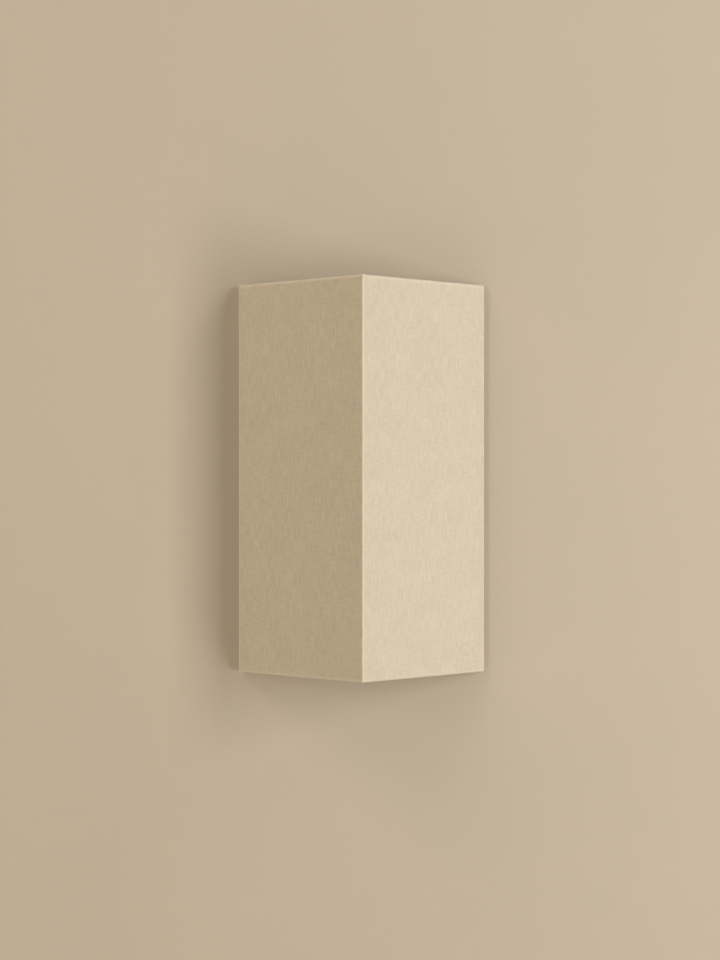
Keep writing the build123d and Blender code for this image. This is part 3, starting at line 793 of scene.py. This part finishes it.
def holder_cap(finish):
    """Lower half of the holder, flared from its neck in a soft curve."""
    outer, foot, top = upright("holder_cap")
    neck, bore, wall = 7, 5, 1.7
    neck_top, flare_top, seat = foot + 4, foot + 10, top - 7
    profile = [(bore, foot), (neck - 0.5, foot), (neck, foot + 0.5), (neck, neck_top)]
    for n in range(1, 9):
        share = n / 8
        ease = 0.35 * share + 0.65 * share * share * (3 - 2 * share)
        profile.append((neck + (outer - neck) * ease, neck_top + (flare_top - neck_top) * share))
    profile += [(outer, top - 0.3), (outer - 0.3, top), (outer - wall, top), (outer - wall, seat)]
    profile += [(neck, seat), (neck, neck_top + wall), (bore, neck_top + wall), (bore, foot)]
    set_upright(turned_piece("holder_cup", profile, 64, hollow=True), "holder_cap", 35, finish)


def lamp_cap(s, finish):
    """Screw cap with its rolled thread."""
    flare, foot, top = upright("lamp_cap")
    crest, thread_top, count = 6.8, top - 4, 44
    profile = [(crest - 1.6, foot), (crest - 0.5, foot + 0.5)]
    profile += [(crest, foot + 0.8 + n * (thread_top - foot - 1) / count) for n in range(count + 1)]
    profile += [(flare - 0.5, thread_top + 0.2), (flare, thread_top + 0.8), (flare, top)]
    piece = turned_piece("screw_cap", profile, 48)

    def thread(away, height, turn):
        if abs(away - crest) > 0.01:
            return 0.0
        run = max(0.0, min(1.0, (height - foot) / 2, (thread_top - height) / 1.5))
        phase = height * MM / s.thread_pitch * 2 * pi - turn
        return s.thread_depth / MM * (0.5 - 0.5 * cos(phase)) * run

    sink(piece, thread)
    set_upright(piece, "lamp_cap", 60, finish)


def lamp_cover(s, finish):
    """Opal cover with a softly rounded top."""
    radius, foot, top = upright("lamp_globe")
    wall, dome = 1, s.dome / MM
    shoulder = top - dome

    def rounded_top(inset):
        across, rise = radius - inset, dome - inset
        turns = [pi / 2 * n / 12 for n in range(1, 12)]
        return [(across * cos(turn) ** 0.62, shoulder + rise * sin(turn) ** 0.9) for turn in turns]

    # a shallow groove where the cover is glued into the collar
    outside = [(radius - 0.35, foot), (radius - 0.35, foot + 0.5), (radius, foot + 0.9)]
    outside += [(radius, shoulder)] + rounded_top(0)
    inside = [(radius - wall, foot), (radius - wall, shoulder)] + rounded_top(wall)
    set_upright(turned_piece("opal_cover", inside[::-1] + outside, 64), "lamp_globe", 40, finish)


def lamp_collar(finish):
    """Body of the lamp, with rounded edges."""
    rim, foot, top = upright("lamp_collar")
    throat, curve_foot, curve = 8.5, foot + 0.2, 5.8
    profile = [(throat - 0.2, foot), (throat, curve_foot)]
    for n in range(1, 9):
        share = n / 8
        profile.append((throat + (rim - throat) * sin(share * pi / 2), curve_foot + share * curve))
    profile += [(rim, top - 1.2), (rim - 0.3, top - 0.9), (rim - 0.3, top)]
    set_upright(turned_piece("lamp_body", profile, 64), "lamp_collar", 35, finish)


# ---- linen shade


class LinenCut:
    """Places on the outside of the linen, on the right half of the shade."""

    over_steps = 16  # steps of the turned edge over the wire

    def __init__(self, s):
        self.s = s
        self.half_height = s.frame_height / 2
        self.roll = s.wire / 2 + s.lining + s.linen
        self.side_x = s.frame_width / 2
        self.angle = atan2(s.frame_depth, self.side_x)
        self.leg = hypot(s.frame_depth, self.side_x)
        self.side_y = middle("side_uprights", 1)
        self.front_y = self.side_y - s.frame_depth
        self.along = Vector((cos(self.angle), sin(self.angle), 0))
        self.outward = Vector((sin(self.angle), -cos(self.angle), 0))
        self.fold_run = s.fold_radius * tan(self.angle)
        self.face_start = self.mitre(self.roll) + self.fold_run
        self.fold_cloth = s.fold_radius * self.angle
        self.cloth_end = self.leg - self.face_start + self.fold_cloth

    def mitre(self, out):
        """Where a surface at this distance from the wires meets its mirror image."""
        return -out * tan(self.angle)

    def on_leg(self, run, out, height):
        return Vector((0, self.front_y, height)) + self.along * run + self.outward * out

    def on_fold(self, turn, out, height):
        """A point on the rounded front edge; turn runs from 0 in front to the leg's angle."""
        radius = self.s.fold_radius
        y = self.front_y - out / cos(self.angle) + radius / cos(self.angle)
        return Vector((radius * sin(turn), y - radius * cos(turn), height))

    def on_side(self, out, back, height):
        """A point beside the back wire, out from the leg and back towards the wall."""
        return Vector((self.side_x, self.side_y, height)) + self.outward * out + self.along * back

    @staticmethod
    def near_end(run, end):
        """0 on most of an edge, rising to 1 where it ends."""
        share = min(max(0.0, 1 - (end - run) / (45 * MM)), 1.0)
        return share * share

    def turned_edge(self):
        """(out, up, cloth) from the wire's height, over the wire and down the lining."""
        lean, roll = self.s.hem_slope, self.roll
        last = pi + lean
        places = []
        for n in range(self.over_steps + 1):
            turn = pi * n / self.over_steps
            places.append((roll * cos(turn), roll * sin(turn), roll * turn))
        leave = (roll * cos(last), roll * sin(last), roll * last)
        face = self.s.wire / 2 - self.s.linen
        slant = (face - leave[0]) / sin(lean)
        for n in range(4):
            reach = slant * n / 3
            places.append((leave[0] + reach * sin(lean), leave[1] - reach * cos(lean), leave[2] + reach))
        out, up, cloth = places[-1]
        for n in (1, 2):
            reach = self.s.hem_tail * n / 2
            places.append((out, up - reach, cloth + reach))
        return places


def linen_mesh(s):
    """Half of the cover as one sheet, seen from outside, mitred at the back corners."""
    cut = LinenCut(s)
    edge = cut.turned_edge()
    half = cut.half_height
    first_step = 0.35 * MM
    runs = [cut.face_start + d for d in stations(cut.leg - cut.face_start, first_step, s.step)]
    heights = [d - half for d in stations(s.frame_height, first_step, s.step)]
    turns = [cut.angle * n / 4 for n in range(4)]
    places, cloths, faces = [], [], []

    def put(place, cloth):
        places.append(place)
        cloths.append(cloth)
        return len(places) - 1

    def skin(rows, flip=False):
        """Faces between rows of points; None leaves a hole."""
        for low, high in zip(rows, rows[1:]):
            for corners in zip(low, low[1:], high[1:], high):
                if None not in corners:
                    faces.append(corners[::-1] if flip else corners)

    def row_on_leg(out, up, height, cloth_up, snipped):
        """One row across the leg, from the front edge to the mitre at the back wire."""
        shift = cut.mitre(out) - cut.mitre(cut.roll)
        row = []
        for turn in turns:
            cloth = (s.fold_radius * turn, cloth_up)
            row.append(None if snipped else put(cut.on_fold(turn, out, height), cloth))
        for run in runs:
            if snipped and run < s.hem_snip:
                row.append(None)
                continue
            near = max(0.0, 1 - (run - cut.face_start) / (3.2 * cut.roll))
            place = run + (0 if snipped else shift * near) + up * cut.near_end(run, cut.leg)
            cloth = (place - cut.face_start + cut.fold_cloth, cloth_up)
            row.append(put(cut.on_leg(place, out, height), cloth))
        return row

    skin([row_on_leg(cut.roll, 0, z, z, False) for z in heights])
    for sign in (1, -1):
        skin(
            [
                row_on_leg(out, up, sign * (half + up), sign * (half + cloth), n > cut.over_steps)
                for n, (out, up, cloth) in enumerate(edge)
            ],
            flip=sign < 0,
        )
    rows = []
    for z in heights:
        end = 1 if z > 0 else -1
        row = []
        for out, back, cloth in edge:
            level = z + end * back * cut.near_end(abs(z), half)
            row.append(put(cut.on_side(out, back, level), (cut.cloth_end + cloth, level)))
        rows.append(row)
    skin(rows)
    return places, cloths, faces


def linen_shade(s):
    """One piece of linen over both legs, turned round the frame on every edge."""
    places, cloths, faces = linen_mesh(s)
    count = len(places)
    places += [Vector((-p.x, p.y, p.z)) for p in places]
    cloths += [(-u, v) for u, v in cloths]
    faces += [[count + p for p in reversed(face)] for face in faces]
    mesh = bpy.data.meshes.new("linen_shade")
    mesh.from_pydata(places, [], faces)
    cloth = mesh.uv_layers.new(name="Cloth")
    for loop in mesh.loops:
        cloth.data[loop.index].uv = cloths[loop.vertex_index]
    shade = new_object("linen_shade", mesh)
    pick(shade)
    edit_all()
    bpy.ops.mesh.remove_doubles(threshold=2e-6)
    bpy.ops.object.mode_set(mode="OBJECT")
    ease_linen(shade, s)
    thickness = 0.9 * s.linen
    apply_modifier(shade, "Cloth", "SOLIDIFY", thickness=thickness, offset=-1, use_even_offset=False)
    for node in ("lower_cross_bar", "upper_cross_bar"):
        snip_round_bar(shade, node, s)
    smooth(50)
    return shade


def snip_round_bar(shade, node, s):
    """Cuts the turned edge clear of a cross bar."""
    deselect_all()
    bpy.ops.mesh.primitive_cylinder_add(
        vertices=24,
        radius=s.wire / 2 + s.bar_play,
        depth=size(node, 0),
        location=(0, middle(node, 1), middle(node, 2)),
        rotation=(0, pi / 2, 0),
    )
    cut_away(shade, bpy.context.object)


def ease_linen(shade, s):
    """Lets the hems and the front fold wander, and swells the corners where they cross."""
    cut = LinenCut(s)
    half = cut.half_height
    for vertex in shade.data.vertices:
        place = vertex.co
        inset = half - abs(place.z)
        hem = max(0.0, 1 - inset / (4 * MM)) if inset > 0 else 1.0
        wander = noise.noise(Vector((place.x * 70, place.y * 70, 5.0 if place.z > 0 else 11.0)))
        fine = noise.noise(Vector((place.x * 260, place.y * 260, place.z * 30)))
        place.z += hem * s.ripple * (wander + 0.4 * fine)
        fold = max(0.0, 1 - abs(place.x) / (3 * MM))
        place.x += fold * s.fold_wander * noise.noise(Vector((2.0, 7.0, place.z * 110)))
        if inset < 0:
            place.z += fold * s.corner_swell * (1 if place.z > 0 else -1)


def declare_linen(shade, s):
    """Hides the frame's linen cover and puts the linen on the shade's body."""
    cut = LinenCut(s)
    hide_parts("linen_cover")
    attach(shade, "shade")


# ---- stage


def one_sided(name, colour, grain):
    """Matt surface that lets a camera behind it see through."""
    finish, tree, paint = new_finish(name, Roughness=0.9, Specular_IOR_Level=0.15)
    output = paint.outputs[0].links[0].to_socket
    share = spread(tree, soft_noise(tree, object_place(tree), grain, 3.0, 0.5), 0.3, 0.7, 0.0, 1.0)
    darker = [part * 0.985 for part in colour]
    feed(tree, paint.inputs["Base Color"], blend_colours(tree, share, opaque(darker), opaque(colour)))
    clear = add_node(tree, "BsdfTransparent").outputs[0]
    behind = add_node(tree, "NewGeometry").outputs["Backfacing"]
    feed(tree, output, result(tree, "MixShader", (behind, paint.outputs[0], clear)))
    return finish


def stage_sheet(name, width, height, place, turn, finish):
    deselect_all()
    bpy.ops.mesh.primitive_plane_add(size=1, location=place, rotation=turn)
    sheet = bpy.context.object
    sheet.name = name
    sheet.scale = (width, height, 1)
    settle(sheet)
    sheet.data.materials.append(finish)
    return sheet


def soft_box(name, right, up, distance, width, height, power, colour):
    """A soft box aimed at the light, this many degrees to the right and up from straight in front."""
    across, rise = radians(right), radians(up)
    away = Vector((sin(across) * cos(rise), -cos(across) * cos(rise), sin(rise)))
    deselect_all()
    bpy.ops.object.light_add(type="AREA", location=away * distance)
    lamp = bpy.context.object
    lamp.name = name
    lamp.data.shape = "RECTANGLE"
    lamp.data.size, lamp.data.size_y = width, height
    lamp.data.energy = power
    lamp.data.color = colour
    lamp.rotation_euler = away.to_track_quat("Z", "Y").to_euler()
    lamp.visible_camera = False
    return lamp


def room(s):
    world = bpy.data.worlds.new("Room")
    bpy.context.scene.world = world
    world.use_nodes = True
    tree = world.node_tree
    tree.nodes.clear()
    light = result(tree, "Background", (opaque(s.room_colour), s.room_light))
    seen = result(tree, "Background", (opaque(s.backdrop), 1.0))
    from_camera = add_node(tree, "LightPath").outputs["Is Camera Ray"]
    fill(tree, add_node(tree, "OutputWorld"), [result(tree, "MixShader", (from_camera, light, seen))])


def camera(s):
    deselect_all()
    bpy.ops.object.camera_add(location=s.camera_place, rotation=(pi / 2, 0, -s.camera_turn))
    view = bpy.context.object
    view.data.sensor_width = 36
    view.data.lens = s.lens
    view.data.clip_start = 0.05
    view.data.clip_end = 20
    bpy.context.scene.camera = view


def studio(s):
    bpy.context.scene.view_settings.view_transform = "Standard"
    bpy.context.scene.view_settings.look = "None"
    camera(s)
    room(s)
    wall_paint = one_sided("Wall Paint", s.wall_colour, 6.0)
    floor_paint = one_sided("Floor Paint", s.floor_colour, 4.0)
    width, top, behind = 7.0, 2.6, 0.0003
    place = (0, behind, (top - s.floor_drop) / 2)
    wall = stage_sheet("wall", width, top + s.floor_drop, place, FACING_ROOM, wall_paint)
    place = (0, -s.floor_depth / 2, -s.floor_drop)
    stage_sheet("floor", width, s.floor_depth, place, (0, 0, 0), floor_paint)
    soft_box("key_strip", 50, 0, 2.2, 0.36, 1.86, s.key_power, s.key_colour)
    front = (("front_low", -20, 0.225), ("front_middle", 10, 0.403), ("front_high", 42, 0.372))
    for name, up, share in front:
        soft_box(name, -38, up, 2.3, 1.0, 1.0, share * s.front_power, s.fill_colour)
    for name, up in (("left_low", -20), ("left_high", 42)):
        soft_box(name, -68, up, 2.3, 1.0, 1.0, s.left_power / 2, s.left_colour)
    soft_box("right_high", 74, 42, 2.3, 1.0, 1.0, s.right_power, s.fill_colour)
    soft_box("top_box", 0, 70, 2.0, 1.6, 1.2, s.top_power, s.fill_colour)
    back = soft_box("back_box", 170, 20, 1.7, 2.0, 2.0, s.back_power, s.back_colour)
    let_through(back, wall)


def let_through(lamp, sheet):
    """The sheet casts no shadow of this lamp."""
    blockers = bpy.data.collections.new(lamp.name + " Blockers")
    lamp.light_linking.blocker_collection = blockers
    blockers.objects.link(sheet)
    for entry in blockers.collection_objects:
        entry.light_linking.link_state = "EXCLUDE"


# ---- operators


class WALLLIGHT_OT_studio(bpy.types.Operator):
    """Builds the wall, floor, lights and camera"""

    bl_idname = "walllight.studio"
    bl_label = "Studio"

    def execute(self, context):
        studio(context.scene.studio)
        return {"FINISHED"}


class WALLLIGHT_OT_linen_shade(bpy.types.Operator):
    """Cuts and turns the linen over the shade's frame"""

    bl_idname = "walllight.linen_shade"
    bl_label = "Linen Shade"

    def execute(self, context):
        s = context.scene.linen_shade
        shade = linen_shade(s)
        shade.data.materials.append(linen_finish(s))
        declare_linen(shade, s)
        return {"FINISHED"}


class WALLLIGHT_OT_shade_frame(bpy.types.Operator):
    """Finishes the lining board, the wires and the keyhole straps"""

    bl_idname = "walllight.shade_frame"
    bl_label = "Shade Frame"

    def execute(self, context):
        fitting = context.scene.fitting
        card = ((0.82, 0.80, 0.75), (0.78, 0.75, 0.69))
        lining = grained_finish("Lining Board", *card, 0.5, 500.0, 0.1, 0.03)
        dress(lining, "lining_left", "lining_right")
        coat = powder_coat("White Powder Coat", (0.80, 0.79, 0.75), (0.73, 0.71, 0.66), 0.42)
        dress(coat, "lower_ring", "upper_ring", "front_upright", "side_uprights")
        dress(coat, "lower_cross_bar", "upper_cross_bar")
        for node in ("keyhole_strap_left", "keyhole_strap_right"):
            rounded_copy(node, fitting.sheet_edge, coat)
        return {"FINISHED"}


class WALLLIGHT_OT_wall_base(bpy.types.Operator):
    """Makes the back plate, the wall bracket, its pillars and the grommet"""

    bl_idname = "walllight.wall_base"
    bl_label = "Wall Base"

    def execute(self, context):
        fitting = context.scene.fitting
        paint = powder_coat("Plate Paint", *CREAM, 0.36)
        rounded_copy("back_plate", fitting.sheet_edge, paint)
        zinc = metal_finish("Bracket Zinc", (0.60, 0.62, 0.66), (0.44, 0.45, 0.46), 0.34, (1.0, 1.0, 0.06))
        for node in ("wall_bracket", "bracket_pillars"):
            rounded_copy(node, fitting.sheet_edge, zinc)
        rubber = ((0.028, 0.028, 0.028), (0.05, 0.049, 0.047))
        grommet(grained_finish("Grommet Rubber", *rubber, 0.6, 900.0, 0.5, 0.03))
        return {"FINISHED"}


class WALLLIGHT_OT_screws(bpy.types.Operator):
    """Makes the screws, nuts, washers and the earth post"""

    bl_idname = "walllight.screws"
    bl_label = "Screws"

    def execute(self, context):
        fitting = context.scene.fitting
        zinc = metal_finish("Bright Zinc", (0.66, 0.67, 0.70), (0.48, 0.48, 0.48), 0.24, (0.3, 0.3, 0.3))
        shoulder_screws(fitting, zinc)
        plate_screws(fitting, zinc)
        small = ("plate_washers", "shoulder_nuts", "earth_nut", "earth_post", "arm_nut")
        for node in (*small, "terminal_fixing_screw"):
            rounded_copy(node, 0.15 * MM, zinc)
        dress(zinc, "holder_grub_screw")
        return {"FINISHED"}


class WALLLIGHT_OT_lamp_arm(bpy.types.Operator):
    """Makes the bent tube and its collar"""

    bl_idname = "walllight.lamp_arm"
    bl_label = "Lamp Arm"

    def execute(self, context):
        fitting = context.scene.fitting
        paint = powder_coat("Arm Paint", *CREAM, 0.34)
        lamp_arm(paint)
        rounded_copy("arm_flange", fitting.moulded_edge, paint, 3)
        return {"FINISHED"}


class WALLLIGHT_OT_lamp_holder(bpy.types.Operator):
    """Makes the lamp holder and finishes what is inside it"""

    bl_idname = "walllight.lamp_holder"
    bl_label = "Lamp Holder"

    def execute(self, context):
        fitting = context.scene.fitting
        plastic = ((0.74, 0.73, 0.69), (0.69, 0.67, 0.63))
        shell = grained_finish("Holder Plastic", *plastic, 0.32, 1800.0, 0.25, 0.01)
        holder_skirt(fitting, shell)
        holder_cap(shell)
        ceramic = ((0.78, 0.75, 0.69), (0.70, 0.66, 0.60))
        dress(grained_finish("Holder Ceramic", *ceramic, 0.45, 1200.0, 0.2, 0.03), "holder_core")
        brass = metal_finish("Holder Brass", *BRASS, 0.28, (0.4, 0.4, 1.0))
        dress(brass, "core_terminals", "holder_screw_shell", "holder_contact")
        return {"FINISHED"}


class WALLLIGHT_OT_wiring(bpy.types.Operator):
    """Makes the terminal block and finishes the leads"""

    bl_idname = "walllight.wiring"
    bl_label = "Wiring"

    def execute(self, context):
        fitting = context.scene.fitting
        plastic = ((0.72, 0.72, 0.67), (0.64, 0.64, 0.58))
        inner = {"Subsurface_Weight": 0.25, "Subsurface_Scale": 0.002}
        block = grained_finish("Block Plastic", *plastic, 0.3, 1500.0, 0.15, 0.01, **inner)
        rounded_copy("terminal_body", fitting.moulded_edge, block)
        brass = metal_finish("Terminal Brass", *BRASS, 0.3, (1.0, 1.0, 0.2))
        dress(brass, "terminal_tubes", "terminal_screws", "earth_tag")
        dress(lead_finish("Brown Lead", (0.15, 0.07, 0.04), (0.11, 0.05, 0.03)), "live_wire")
        dress(lead_finish("Blue Lead", (0.035, 0.15, 0.40), (0.025, 0.11, 0.32)), "neutral_wire")
        dress(earth_lead_finish(), "earth_wire")
        return {"FINISHED"}


class WALLLIGHT_OT_lamp(bpy.types.Operator):
    """Makes the lamp: cap, body and opal cover"""

    bl_idname = "walllight.lamp"
    bl_label = "Lamp"

    def execute(self, context):
        fitting = context.scene.fitting
        nickel = metal_finish("Lamp Cap Nickel", (0.68, 0.66, 0.62), (0.5, 0.48, 0.44), 0.22, (0.4, 0.4, 1.0))
        lamp_cap(fitting, nickel)
        rounded_copy("lamp_tip", 0.3 * MM, nickel, 3)
        dark = ((0.02, 0.02, 0.025), (0.035, 0.035, 0.04))
        glass = grained_finish("Cap Glass", *dark, 0.1, 900.0, 0.0, 0.005)
        rounded_copy("lamp_insulator", 0.6 * MM, glass, 3)
        white = ((0.84, 0.83, 0.80), (0.80, 0.78, 0.74))
        lamp_collar(grained_finish("Lamp Body", *white, 0.34, 1500.0, 0.12, 0.008))
        milky = ((0.86, 0.85, 0.82), (0.83, 0.82, 0.78))
        depth = {"Subsurface_Weight": 0.2, "Subsurface_Radius": (1.0, 0.95, 0.85), "Subsurface_Scale": 0.001}
        gloss = {"Coat_Weight": 0.3, "Coat_Roughness": 0.15}
        opal = grained_finish("Opal Cover", *milky, 0.28, 400.0, 0.08, 0.004, **depth, **gloss)
        lamp_cover(fitting, opal)
        board = ((0.76, 0.78, 0.74), (0.70, 0.72, 0.68))
        dress(grained_finish("Diode Board", *board, 0.4, 1500.0, 0.0, 0.01), "led_board")
        return {"FINISHED"}


class WALLLIGHT_PT_panel(bpy.types.Panel):
    """Lists the wall light's operators and settings"""

    bl_idname = "WALLLIGHT_PT_panel"
    bl_label = "Wall Light"
    bl_space_type = "VIEW_3D"
    bl_region_type = "UI"
    bl_category = "Wall Light"

    def draw(self, context):
        column = self.layout.column()
        for operator in OPERATORS:
            column.operator(operator.bl_idname)
        for settings in (context.scene.linen_shade, context.scene.fitting, context.scene.studio):
            box = column.box()
            for name in settings.__annotations__:
                box.prop(settings, name)


SETTINGS = (LinenShadeSettings, FittingSettings, StudioSettings)
OPERATORS = (
    WALLLIGHT_OT_studio,
    WALLLIGHT_OT_linen_shade,
    WALLLIGHT_OT_shade_frame,
    WALLLIGHT_OT_wall_base,
    WALLLIGHT_OT_screws,
    WALLLIGHT_OT_lamp_arm,
    WALLLIGHT_OT_lamp_holder,
    WALLLIGHT_OT_wiring,
    WALLLIGHT_OT_lamp,
)


def register():
    for entry in (*SETTINGS, *OPERATORS, WALLLIGHT_PT_panel):
        bpy.utils.register_class(entry)
    bpy.types.Scene.linen_shade = bpy.props.PointerProperty(type=LinenShadeSettings)
    bpy.types.Scene.fitting = bpy.props.PointerProperty(type=FittingSettings)
    bpy.types.Scene.studio = bpy.props.PointerProperty(type=StudioSettings)


def unregister():
    del bpy.types.Scene.studio
    del bpy.types.Scene.fitting
    del bpy.types.Scene.linen_shade
    for entry in (WALLLIGHT_PT_panel, *reversed(OPERATORS), *reversed(SETTINGS)):
        bpy.utils.unregister_class(entry)


def main():
    register()
    bpy.ops.walllight.studio()
    bpy.ops.walllight.linen_shade()
    bpy.ops.walllight.shade_frame()
    bpy.ops.walllight.wall_base()
    bpy.ops.walllight.screws()
    bpy.ops.walllight.lamp_arm()
    bpy.ops.walllight.lamp_holder()
    bpy.ops.walllight.wiring()
    bpy.ops.walllight.lamp()


if __name__ == "__main__":
    main()
